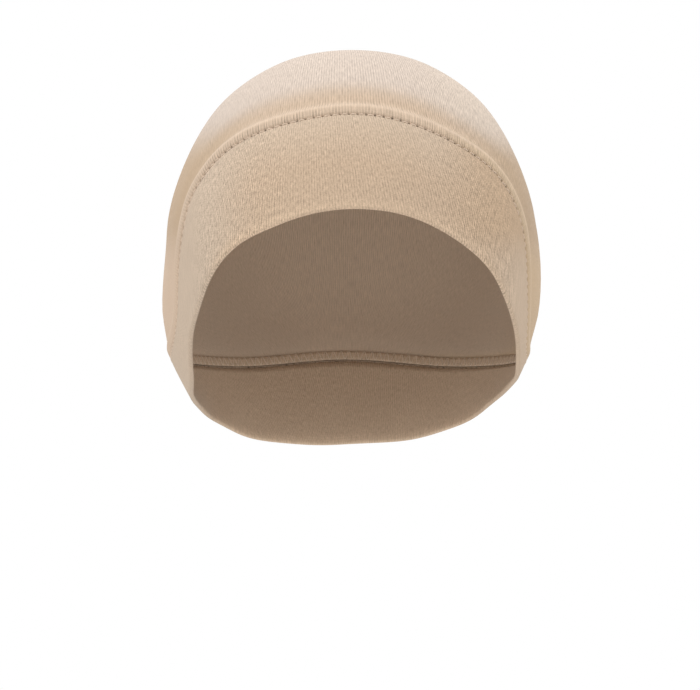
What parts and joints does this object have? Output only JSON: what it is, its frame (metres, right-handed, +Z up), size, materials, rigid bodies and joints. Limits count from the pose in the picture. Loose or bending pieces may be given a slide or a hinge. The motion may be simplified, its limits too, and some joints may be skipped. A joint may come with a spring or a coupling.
{
  "type": "underscarf cap",
  "caption": "Close-fitting jersey underscarf cap in its worn form: smooth crown, doubled band round the face and nape, raised seam between them.",
  "frame": {"origin": "inner top of the crown, the point that rests on the top of the wearer's head", "axes": "+Z up, the face opening towards -Y, +X towards the right of someone who looks at the face opening"},
  "size_m": [0.1568, 0.1864, 0.1638],
  "materials": {
    "crown_jersey": "fine single jersey, matt, light beige",
    "band_jersey": "fine jersey folded double, matt, beige",
    "overlocked_edge": "raw jersey edges bound with beige overlock thread"
  },
  "bodies": {
    "root": {"crown": "crown_jersey", "face_band": "band_jersey", "seam_allowance": "overlocked_edge"}
  },
  "joints": []
}
